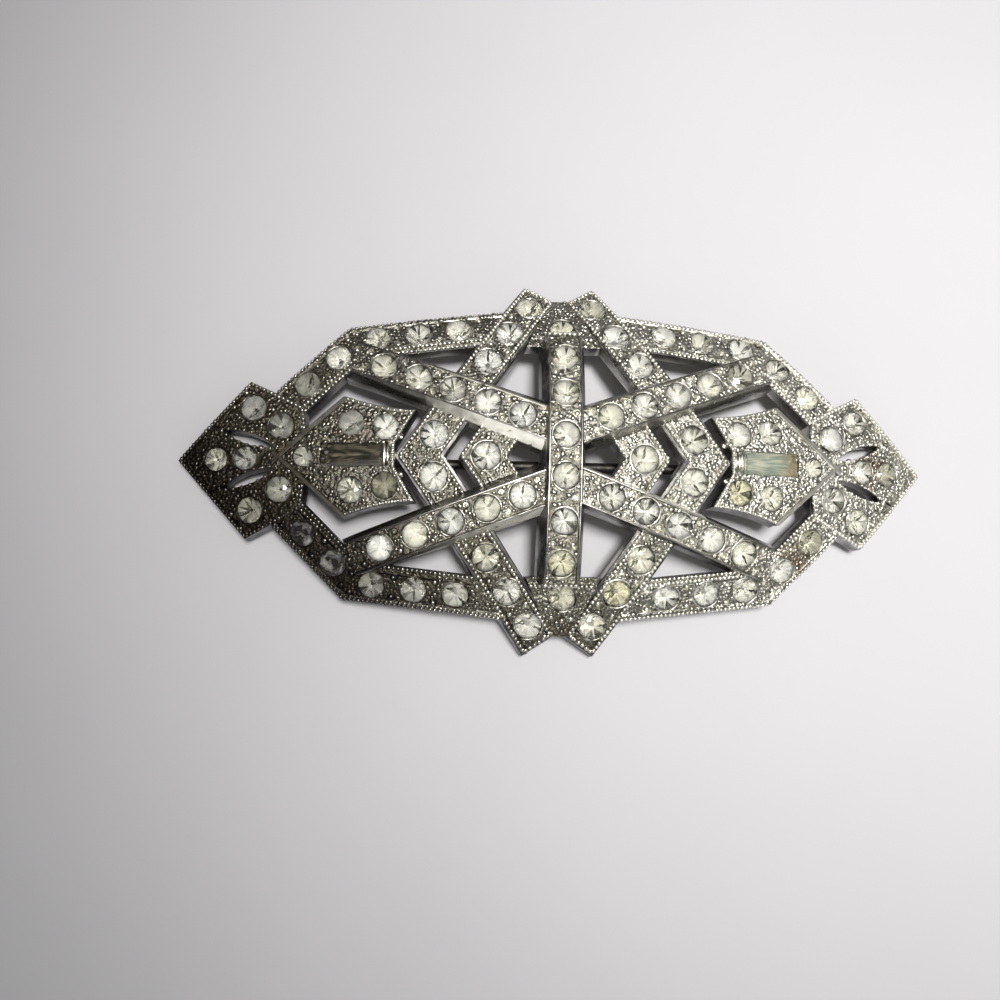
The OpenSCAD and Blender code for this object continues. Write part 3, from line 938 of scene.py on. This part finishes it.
# Beads that stand on points: each point carries its bead's size, and the tree varies it
def beadTree(sizes):
    tree, given, result = newTree("standingBeads", sizes)
    seed = given["Seed"]
    least = addNode(tree, "ShaderNodeMath", [1.0, given["Size spread"]], operation="SUBTRACT")
    most = addNode(tree, "ShaderNodeMath", [1.0, given["Size spread"]], operation="ADD")
    factor = addNode(tree, "FunctionNodeRandomValue", [least, most, None, seed], data_type="FLOAT")
    size = addNode(tree, "GeometryNodeInputNamedAttribute", {"Name": "size"}, data_type="FLOAT")
    size = addNode(tree, "ShaderNodeMath", [size, factor], operation="MULTIPLY")
    length = addNode(tree, "GeometryNodeInputNamedAttribute", {"Name": "stretch"}, data_type="FLOAT")
    length = addNode(tree, "ShaderNodeMath", [size, length], operation="MULTIPLY")
    height = addNode(tree, "ShaderNodeMath", [size, given["Height share"]], operation="MULTIPLY")
    shape = addNode(tree, "ShaderNodeCombineXYZ", [length, size, height])
    shift = addNode(tree, "FunctionNodeRandomValue", [(-1, -1, -0.3), (1, 1, 0.3), None, seed],
                    data_type="FLOAT_VECTOR")
    shift = addNode(tree, "ShaderNodeVectorMath", [shift, given["Wander"]], operation="SCALE")
    moved = addNode(tree, "GeometryNodeSetPosition", {"Geometry": given["Geometry"], "Offset": shift})
    beads = standOn(tree, moved, smoothBall(tree, given), shape)
    return endTree(tree, rubUnevenly(tree, beads, given, 0.3, 1.0), given["Metal"], result)


# Rough grains strewn over the worked floors, square to the face
def crustTree(sizes):
    tree, given, result = newTree("strewnGrains", sizes)
    seed = given["Seed"]
    worked = addNode(tree, "GeometryNodeInputNamedAttribute", {"Name": "worked"}, data_type="FLOAT")
    worked = addNode(tree, "ShaderNodeMath", [worked, 0.5], operation="GREATER_THAN")
    strewn = addNode(tree, "GeometryNodeDistributePointsOnFaces", {
        "Mesh": given["Geometry"], "Selection": worked, "Distance Min": given["Spacing"],
        "Density Max": given["Density"], "Seed": seed}, distribute_method="POISSON")
    rows = addNode(tree, "GeometryNodeObjectInfo", {"Object": given["Keep clear"]}).outputs["Geometry"]
    near = addNode(tree, "GeometryNodeProximity", [rows], target_element="POINTS").outputs["Distance"]
    free = addNode(tree, "ShaderNodeMath", [near, given["Clearance"]], operation="GREATER_THAN")
    width = addNode(tree, "FunctionNodeRandomValue",
                    [given["Smallest"], given["Largest"], None, seed], data_type="FLOAT")
    length = addNode(tree, "FunctionNodeRandomValue", [0.8, 1.5, None, seed], data_type="FLOAT")
    length = addNode(tree, "ShaderNodeMath", [width, length], operation="MULTIPLY")
    height = addNode(tree, "ShaderNodeMath", [width, given["Height share"]], operation="MULTIPLY")
    shape = addNode(tree, "ShaderNodeCombineXYZ", [length, width, height])
    spin = addNode(tree, "FunctionNodeRandomValue", [0.0, 6.28, None, seed], data_type="FLOAT")
    spin = addNode(tree, "ShaderNodeCombineXYZ", [0.0, 0.0, spin])
    spin = addNode(tree, "FunctionNodeEulerToRotation", [spin])
    turn = addNode(tree, "FunctionNodeRotateRotation", [strewn.outputs["Rotation"], spin],
                   rotation_space="LOCAL")
    grains = addNode(tree, "GeometryNodeInstanceOnPoints", {
        "Points": strewn, "Instance": smoothBall(tree, given), "Selection": free,
        "Rotation": turn, "Scale": shape})
    return endTree(tree, rubUnevenly(tree, grains, given, 0.0, 0.9), given["Metal"], result)


def standing(x, y, up, heading=0.0):
    # place on the dome, and the turn that stands a thing square to it with its x axis towards heading
    place, normal = bend(x, y, up)
    step = 0.05
    along = bend(x + math.cos(heading) * step, y + math.sin(heading) * step, up)[0] - place
    along = (along - normal * along.dot(normal)).normalized()
    turn = Matrix((along, normal.cross(along), normal)).transposed()
    return place, turn.to_euler()


def pointCloud(name, spots, numbers):
    # spots are (place, turn), numbers is {attribute: values}
    mesh = bpy.data.meshes.new(name)
    mesh.from_pydata([place for place, _ in spots], [], [])
    turns = mesh.attributes.new("turn", "FLOAT_VECTOR", "POINT")
    for i, (_, turn) in enumerate(spots):
        turns.data[i].vector = turn
    for label, values in numbers.items():
        layer = mesh.attributes.new(label, "FLOAT", "POINT")
        for i, value in enumerate(values):
            layer.data[i].value = value
    return addObject(name, mesh)


# Beaded edges

def beadRow(run, level, covers=(), closed=False):
    # beads at the milgrain's pitch along a run, left out where something covers them
    spots = []
    ends = run[1:] + run[:1] if closed else run[1:]
    for a, b in zip(run, ends):
        count = max(int((b - a).length / milgrain["pitch"]), 1)
        heading = math.atan2(b.y - a.y, b.x - a.x)
        for i in range(count):
            p = a.lerp(b, (i + 0.5) / count)
            if not any(inside(p, cover) for cover in covers):
                spots.append(standing(p.x, p.y, level, heading))
    return spots


def outerHalf(outline):
    # the outer half of a border band, which has a smooth rim
    count = len(outline) // 2
    middleLine = [(outline[i] + outline[-1 - i]) / 2 for i in range(count)]
    return [p * 1.04 for p in inset(outline, -0.5)[:3]] + middleLine[::-1]


edgeInset = milgrain["bead"] / 2 - 0.02
rowLevels = {
    "edge": 0.15 - milgrain["seat"], "ledge": 0.08 - bands["ledgeDrop"], "bar": bands["barRise"] - 0.02,
    "besideBar": 0.0, "arrow": 0.10, "terminal": -0.12, "slot": -0.34,
}
straightFrom = 20       # an arrow's straight edges lie further out than this
rowSpots = []
raised = [inset(o, -0.1) for o in crossOutlines] + [inset(barOutline, -0.3)]    # these cover the low rows
for outline in borderOutlines:
    covers = raised + chevronOutlines + terminalOutlines + [outerHalf(outline)]
    rowSpots += beadRow(inset(outline, edgeInset), rowLevels["edge"], covers, True)
    others = [inset(o, 0.05) for o in borderOutlines if o is not outline]
    covers = raised + chevronLedges + terminalOutlines + others
    rowSpots += beadRow(inset(outline, -bands["ledge"] / 2), rowLevels["ledge"], covers, True)
for outline in chevronOutlines + smallChevronOutlines:
    rowSpots += beadRow(inset(outline, edgeInset), rowLevels["edge"], raised, True)
for end in barRun:      # across both ends of the centre bar, and on the metal beside them
    half, share = milgrain["barEnd"]
    run = points([(end.x - half, end.y * share), (end.x + half, end.y * share)])
    rowSpots += beadRow(run, rowLevels["bar"])
    half, out = milgrain["besideBar"]
    out = math.copysign(out, end.y)
    rowSpots += beadRow(points([(-half, out), (half, out)]), rowLevels["besideBar"])
for outline in arrowOutlines:   # the straight edges have the smooth strips
    hollow = [p for p in inset(outline, edgeInset) if abs(p.x) < arrowShoulder.x + 0.01]
    start = next(i for i, p in enumerate(hollow)
                 if abs(p.x) > straightFrom and abs(hollow[i - 1].x) > straightFrom)
    rowSpots += beadRow(hollow[start:] + hollow[:start], rowLevels["arrow"], raised)
for outline in terminalOutlines:
    rowSpots += beadRow(inset(outline, edgeInset), rowLevels["terminal"], raised + arrowOutlines, True)
for outline in slotOutlines:
    rowSpots += beadRow(inset(outline, -0.12), rowLevels["slot"], arrowOutlines, True)

beadSizes = {"Ball detail": 2, "Size spread": 0.14, "Wander": 0.01, "Height share": 0.95, "Seed": 7,
             "Metal": beadMetal}
beads = beadTree(beadSizes)
milgrainPoints = pointCloud("milgrainPoints", rowSpots, {
    "size": [milgrain["bead"]] * len(rowSpots), "stretch": [milgrain["stretch"]] * len(rowSpots)})
milgrainRows = grow(milgrainPoints, beads, beadSizes, "milgrainRows")
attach(milgrainRows, "root")
print("milgrain:", len(rowSpots), "beads")


# Round stones

cut = {"table": 0.27, "tableHeight": 0.125, "star": 0.385, "starHeight": 0.079, "girdleThick": 0.03,
       "lower": 0.15, "lowerDepth": 0.382, "culet": 0.045, "depth": 0.47}


def cornerRing(form, radius, height, count, turn=0.0):
    angles = [2 * math.pi * (i + turn) / count for i in range(count)]
    return [form.verts.new((math.cos(a) * radius, math.sin(a) * radius, height)) for a in angles]


def cutStone():
    # A stone of girdle diameter 1: table, stars, kites and girdle facets over an eight-sided foiled back
    form = bmesh.new()
    table = cornerRing(form, cut["table"], cut["tableHeight"], 8)
    star = cornerRing(form, cut["star"], cut["starHeight"], 8, 0.5)
    upper = cornerRing(form, 0.5, 0.0, 16)
    lower = cornerRing(form, 0.5, -cut["girdleThick"], 16)
    mains = cornerRing(form, cut["lower"], -cut["lowerDepth"], 8, 0.5)
    culet = cornerRing(form, cut["culet"], -cut["depth"], 8)
    crown, back = [table], []
    for i in range(8):
        j = (i + 1) % 8
        crown.append((table[j], table[i], star[i]))
        crown.append((table[i], star[i - 1], upper[2 * i], star[i]))
        crown.append((star[i], upper[2 * i], upper[2 * i + 1]))
        crown.append((star[i], upper[2 * i + 1], upper[(2 * i + 2) % 16]))
        back.append((culet[i], culet[j], mains[i]))
        back.append((culet[i], mains[i], lower[2 * i], mains[i - 1]))
        back.append((mains[i], lower[2 * i + 1], lower[2 * i]))
        back.append((mains[i], lower[(2 * i + 2) % 16], lower[2 * i + 1]))
    for i in range(16):
        crown.append((upper[i], lower[i], lower[(i + 1) % 16], upper[(i + 1) % 16]))
    back.append(list(reversed(culet)))
    for group, isFoil in ((crown, 0), (back, 1)):
        for corners in group:
            form.faces.new(corners).material_index = isFoil
    bmesh.ops.recalc_face_normals(form, faces=form.faces[:])
    mesh = meshOf(form, "cutStone")
    foiled = mesh.attributes.new("foiled", "BOOLEAN", "FACE")
    for i, polygon in enumerate(mesh.polygons):
        foiled.data[i].value = polygon.material_index == 1
    reach = mesh.attributes.new("reach", "FLOAT", "POINT")      # 0 in the middle, 1 at the girdle
    for i, vertex in enumerate(mesh.vertices):
        reach.data[i].value = vertex.co.to_2d().length * 2
    return addObject("cutStone", mesh)


def stoneTree(sizes):
    tree, given, result = newTree("setStones", sizes)
    stone = addNode(tree, "GeometryNodeObjectInfo", {"Object": given["Stone"]}).outputs["Geometry"]
    size = addNode(tree, "GeometryNodeInputNamedAttribute", {"Name": "girdle"}, data_type="FLOAT")
    size = addNode(tree, "ShaderNodeCombineXYZ", [size, size, size])
    solid = standOn(tree, given["Geometry"], stone, size)
    solid = addNode(tree, "GeometryNodeRealizeInstances", {"Geometry": solid})
    shade = addNode(tree, "FunctionNodeRandomValue", [0.0, 1.0, None, given["Seed"]], data_type="FLOAT")
    solid = addNode(tree, "GeometryNodeStoreNamedAttribute",
                    {"Geometry": solid, "Name": "shade", "Value": shade},
                    data_type="FLOAT", domain="FACE")
    lean = addNode(tree, "FunctionNodeRandomValue", [(-1, -1, -1), (1, 1, 1), None, given["Seed"]],
                   data_type="FLOAT_VECTOR")
    lean = addNode(tree, "ShaderNodeVectorMath", [lean, given["Facet lean"]], operation="SCALE")
    solid = addNode(tree, "GeometryNodeStoreNamedAttribute",
                    {"Geometry": solid, "Name": "lean", "Value": lean},
                    data_type="FLOAT_VECTOR", domain="FACE")
    solid = addNode(tree, "GeometryNodeSetMaterial", {"Geometry": solid, "Material": given["Glass"]})
    foiled = addNode(tree, "GeometryNodeInputNamedAttribute", {"Name": "foiled"}, data_type="BOOLEAN")
    solid = addNode(tree, "GeometryNodeSetMaterial",
                    {"Geometry": solid, "Selection": foiled, "Material": given["Foil"]})
    tree.links.new(solid.outputs[0], result["Geometry"])
    return tree


# Stones that look otherwise than the rest: place, yellowing from 0 to 1, darkening from 0 to 1,
# which is dead foil, and painted shade on the stones towards the lower left
oddStones = [
    (5.3, -12.7, 1.0, 0.0), (-0.4, -9.6, 0.8, 0.05), (17.1, -2.9, 1.0, 0.0), (-17.1, -2.9, 1.0, 0.65),
    (-24.7, -7.3, 0.0, 1.0), (-21.8, -10.1, 0.2, 1.0), (-18.1, -12.2, 0.3, 0.55), (-33.4, 0, 0.5, 0.3),
    (33.4, 0, 0.7, 0.45), (17.2, 8.5, 0.5, 0.3), (-29.9, -5.1, 0.7, 0.5), (-27.1, -3.1, 0.3, 0.5),
    (2.9, 15.9, 0.6, 0.3), (24.7, -7.3, 0.8, 0.4), (-14.1, -12.6, 0.3, 0.4), (-10.0, -13.1, 0.3, 0.35),
    (-20.3, 3.25, 0.3, 0.5), (0, 13.25, 0.6, 0.1), (0, -13.25, 0.6, 0.05)]
# the stones at the left end get more darkening, as painted shade
usualAge = {"yellow": (0.0, 0.45), "dark": (0.0, 0.12), "leftEndShade": (0.4, 0.65),
            "leftEnd": -24, "near": 0.6}      # an odd stone's place is this near its own
setting = {"above": 0.03, "tilt": 0.025, "turn": 0.8, "seed": 11}   # over the floor, and in radians


def ageAndShadeOf(spot):
    for x, y, yellow, dark in oddStones:
        if (spot - Vector((x, y))).length < usualAge["near"]:
            return yellow, dark
    yellow = dice.uniform(*usualAge["yellow"])
    return yellow, dice.uniform(*usualAge["dark" if spot.x > usualAge["leftEnd"] else "leftEndShade"])


template = cutStone()
stoneSizes = {"Facet lean": 0.09, "Seed": 23, "Stone": template, "Glass": glass, "Foil": foil}
setStones = stoneTree(stoneSizes)
dice = random.Random(setting["seed"])
for string in dict.fromkeys(row["string"] for row in stoneRows):
    spots, girdles, ages, darks = [], [], [], []
    for row, spot in stones:
        if row["string"] == string:
            level = row["level"] - bands["rimHeight"] + setting["above"]
            place, turn = standing(spot.x, spot.y, level)
            tiltX, tiltY = dice.gauss(0, setting["tilt"]), dice.gauss(0, setting["tilt"])
            loose = Euler((tiltX, tiltY, dice.uniform(0, setting["turn"])))
            spots.append((place, (turn.to_matrix() @ loose.to_matrix()).to_euler()))
            girdles.append(row["girdle"])
            yellow, dark = ageAndShadeOf(spot)
            ages.append(yellow)
            darks.append(dark)
    cloud = pointCloud(string + "Points", spots, {"girdle": girdles, "age": ages, "dark": darks})
    piece = grow(cloud, setStones, stoneSizes, string + "_cut")
    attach(piece, "root")
    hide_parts(string)
print("stones set:", len(stones))

# Seat rings and grains round the stones

ringSizes = {"Tube share": 0.028, "Around": 28, "Through": 6, "Metal": ringMetal}
ringWider = 0.22        # than the stone


def seatRingTree(sizes):
    tree, given, result = newTree("seatRings", sizes)
    circle = addNode(tree, "GeometryNodeCurvePrimitiveCircle", [given["Around"], 0.5], mode="RADIUS")
    wire = addNode(tree, "GeometryNodeCurvePrimitiveCircle", [given["Through"], given["Tube share"]],
                   mode="RADIUS")
    ring = addNode(tree, "GeometryNodeCurveToMesh", {"Curve": circle, "Profile Curve": wire})
    ring = addNode(tree, "GeometryNodeSetShadeSmooth", {"Geometry": ring})
    size = addNode(tree, "GeometryNodeInputNamedAttribute", {"Name": "size"}, data_type="FLOAT")
    size = addNode(tree, "ShaderNodeCombineXYZ", [size, size, size])
    return endTree(tree, standOn(tree, given["Geometry"], ring, size), given["Metal"], result)


seatRings = seatRingTree(ringSizes)
ringSpots = [standing(spot.x, spot.y, row["level"] - bands["rimHeight"]) for row, spot in stones]
ringWidths = [row["girdle"] + ringWider for row, _ in stones]
ringCloud = pointCloud("seatRingPoints", ringSpots, {"size": ringWidths})
rings = grow(ringCloud, seatRings, ringSizes, "seatRings")
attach(rings, "root")

grainSpots, grainSizes = [], []


def addGrain(p, level, size):
    grainSpots.append(standing(p.x, p.y, level, dice.uniform(0, 3)))
    grainSizes.append(size)


for p, floor in pairSpots:
    addGrain(p, floor - grain["sunk"], grain["pair"])
for x, y, size in grain["lone"]:
    addGrain(Vector((x, y)), grain["raised"] - bands["rimHeight"], size)

rowMarks = pointCloud("rowMarks", rowSpots, {})
crustSizes = {"Spacing": 0.31, "Density": 16.0, "Smallest": 0.20, "Largest": 0.48, "Height share": 0.5,
              "Ball detail": 2, "Clearance": 0.33, "Seed": 5, "Keep clear": rowMarks, "Metal": beadMetal}
crust = grow(addObject("workedFace", workedFace), crustTree(crustSizes), crustSizes, "floorCrust")
remove(rowMarks)
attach(crust, "root")

grainSizesGiven = dict(beadSizes, **{"Size spread": 0.3, "Wander": 0.09, "Height share": 0.8, "Seed": 3})
grainPoints = pointCloud("grainPoints", grainSpots, {"size": grainSizes, "stretch": [1.0] * len(grainSizes)})
grains = grow(grainPoints, beads, grainSizesGiven, "settingGrains")
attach(grains, "root")
ballFaces = 80      # of a lump at this ball detail
print("grains:", len(grainSpots), "lumps:", len(crust.data.polygons) // ballFaces)
remove(template)


# Baguettes

# height and inset of the steps; the lowest are the foiled back
baguetteSteps = [(-0.95, 1.02), (-0.5, 0.5), (0, 0), (0.05, 0.0), (0.24, 0.22), (0.38, 0.5)]
foiledSteps = 2


def stepCutBaguette(side):
    form = bmesh.new()
    place, turn = standing(baguette["middle"].x * side, baguette["middle"].y, -bands["rimHeight"])
    matrix = Matrix.Translation(place) @ turn.to_matrix().to_4x4()
    rows = []
    for height, back in baguetteSteps:
        halfLength, halfWidth = baguette["length"] / 2 - back, baguette["width"] / 2 - back
        rows.append([form.verts.new(matrix @ Vector((halfLength * sx, halfWidth * sy, height)))
                     for sx, sy in fourCorners])
    skinRings(form, rows)
    for i, facet in enumerate(form.faces):
        isBottom = i == len(form.faces) - 2
        facet.material_index = 1 if i < foiledSteps * len(fourCorners) or isBottom else 0
    bmesh.ops.recalc_face_normals(form, faces=form.faces[:])
    mesh = meshOf(form, "baguette")
    toMetres(mesh)
    return mesh


for side, node in ((-1, "baguette_left"), (1, "baguette_right")):
    piece = addObject(node + "_cut", stepCutBaguette(side))
    piece.data.materials.append(glass)
    piece.data.materials.append(agedFoil)
    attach(piece, "root")
    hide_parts(node)
print("baguettes set")

# ribs across the baguettes' inner ends: place along the brooch, and length across the stone
collar = {
    "left": ((-16.4, 1.5), (-16.75, 1.9), (-17.1, 2.1)),
    "right": ((16.6, 1.2), (16.9, 1.6), (17.2, 2.0), (17.5, 2.1)),
    "rib": 0.42, "up": -0.08,       # thickness, and level above the face
}
ribSpots, ribLengths = [], []
for x, across in collar["left"] + collar["right"]:
    ribSpots.append(standing(x, baguette["middle"].y, collar["up"], math.pi / 2))
    ribLengths.append(across / collar["rib"])
ribSizes = dict(beadSizes, **{"Size spread": 0.06, "Wander": 0.03, "Height share": 1.0, "Seed": 9,
                              "Ball detail": 3, "Metal": ringMetal})
ribPoints = pointCloud("collarPoints", ribSpots, {
    "size": [collar["rib"]] * len(ribSpots), "stretch": ribLengths})
ribs = grow(ribPoints, beads, ribSizes, "baguetteCollars")
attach(ribs, "root")

pinLooks = {
    "grey": "#3f3d3a", "spot": "#262422",
    "patterns": {"spots": (1.2, 5, 0.55, 0.4, 0.65), "dullness": (0.5, 3, 0.55, 0.3, 0.7, 0.42, 0.6)},
}


def agedPinSteel():
    # Drawn steel wire, dulled and spotted: painted dark grey and hardly shiny, so that where it
    # shows through the holes it stays as dark as the shade there
    material, tree, place = newMaterial("agedPinSteel")
    pattern = cloudyPatterns(tree, place, pinLooks["patterns"])
    return shaded(material, {
        "Base Color": layered(tree, pinLooks, "grey", [(pattern["spots"], "spot")]),
        "Metallic": 1,
        "Roughness": pattern["dullness"],
    })


pinSteel = agedPinSteel()
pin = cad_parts["pin_clasp"]
while len(pin.material_slots) < 1:
    pin.data.materials.append(None)
for slotOfPin in pin.material_slots:
    slotOfPin.material = pinSteel


# Floor, lights and camera

paperLooks = {"pale": "#a3a2a5", "paler": "#abaaad", "mottle": 40, "roughness": 0.8, "size": 1.2}


def palePaper():
    # Matt paper, very slightly mottled
    material, tree, place = newMaterial("palePaper")
    mottle = addNode(tree, "ShaderNodeTexNoise", [place, patternScale(paperLooks["mottle"]), 4, 0.55])
    return shaded(material, {
        "Base Color": layered(tree, paperLooks, "pale", [(mottle, "paler")]),
        "Roughness": paperLooks["roughness"],
    })


floorMesh = bpy.data.meshes.new("floor")
floorCorners = [(x * paperLooks["size"], y * paperLooks["size"], 0)
                for x, y in ((-1, -1), (1, -1), (1, 1), (-1, 1))]
floorMesh.from_pydata(floorCorners, [], [(0, 1, 2, 3)])
floorMesh.materials.append(palePaper())
floorPiece = addObject("floor", floorMesh)

room = {"colour": "#ecedee", "strength": 0.20}
world = bpy.data.worlds.new("softRoom")
bpy.context.scene.world = world
world.use_nodes = True
world.node_tree.nodes.clear()
sky = addNode(world.node_tree, "ShaderNodeBackground",
              {"Color": hexColour(room["colour"]), "Strength": room["strength"]})
addNode(world.node_tree, "ShaderNodeOutputWorld", {"Surface": sky})

spotCone = 31.0     # in degrees; it falls off softly towards the lower left
lights = [
    # name, kind, place, aim, radius or size, watts, colour
    ("ceilingLight", "SPOT", (0.022, 0.008, 0.50), (0.048, 0.022, 0), 0.050, 18.6, "#fffdfa"),
    ("ceilingPanel", "AREA", (0.02, -0.06, 0.56), (0.02, -0.02, 0), 0.42, 0.8, "#fffefa"),
    ("windowPanel", "AREA", (0.42, 0.02, 0.28), (0, 0, 0), 0.55, 0.1, "#fafbff"),
    ("frontPanel", "AREA", (-0.02, -0.42, 0.16), (0, 0, 0), 0.4, 0.5, "#ffffff"),
]
for name, kind, place, aim, size, watts, colour in lights:
    lamp = bpy.data.lights.new(name, kind)
    lamp.energy = watts
    lamp.color = hexColour(colour)[:3]
    if kind == "SPOT":
        lamp.shadow_soft_size = size
        lamp.spot_size = math.radians(spotCone)
        lamp.spot_blend = 1.0
    else:
        lamp.size = size
    light = bpy.data.objects.new(name, lamp)
    light.location = place
    light.rotation_euler = (Vector(aim) - Vector(place)).to_track_quat("-Z", "Y").to_euler()
    bpy.context.scene.collection.objects.link(light)

# the photograph's camera: place in millimetres from the top of the dome, and turns in degrees
shot = {"place": (-14.58, -19.46, 107.52), "turn": (-7.98, 4.51, -0.57), "lens": 42.28, "sensor": 36}
cameraData = bpy.data.cameras.new("photoCamera")
cameraData.lens = shot["lens"]
cameraData.sensor_width = shot["sensor"]
cameraData.clip_start = 0.005
camera = bpy.data.objects.new("photoCamera", cameraData)
cameraPlace = (Vector(shot["place"]) + Vector((0, 0, face["crown"]))) / metre
turnX, turnY, turnZ = (Matrix.Rotation(math.radians(a), 3, axis) for a, axis in zip(shot["turn"], "XYZ"))
camera.matrix_world = Matrix.Translation(cameraPlace) @ (turnX @ turnY @ turnZ).transposed().to_4x4()
bpy.context.scene.collection.objects.link(camera)
bpy.context.scene.camera = camera
bpy.context.scene.view_settings.view_transform = "Standard"
